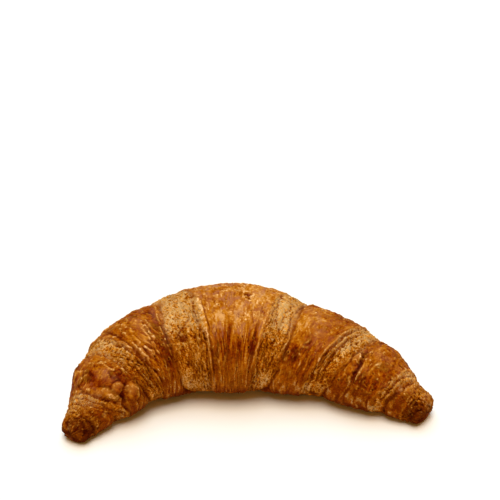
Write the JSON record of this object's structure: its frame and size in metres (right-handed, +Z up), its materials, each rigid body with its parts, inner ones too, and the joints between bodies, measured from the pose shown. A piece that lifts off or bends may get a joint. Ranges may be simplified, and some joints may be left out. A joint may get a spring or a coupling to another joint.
{
  "type": "butter croissant",
  "caption": "Curved butter croissant with rolled, flaky layers, tapered horns and a flat underside, lying as baked.",
  "frame": {"origin": "centre of the footprint's box, on the surface that the croissant rests on", "axes": "+X from the left horn to the right horn, +Y away from the horns to the outside of the bend, +Z up"},
  "size_m": [0.1602, 0.0724, 0.0414],
  "materials": {
    "crust": "egg-washed and baked golden brown, satin on the smooth skin and matt on the torn flaky faces"
  },
  "bodies": {
    "root": {"croissant": "crust"}
  },
  "joints": []
}
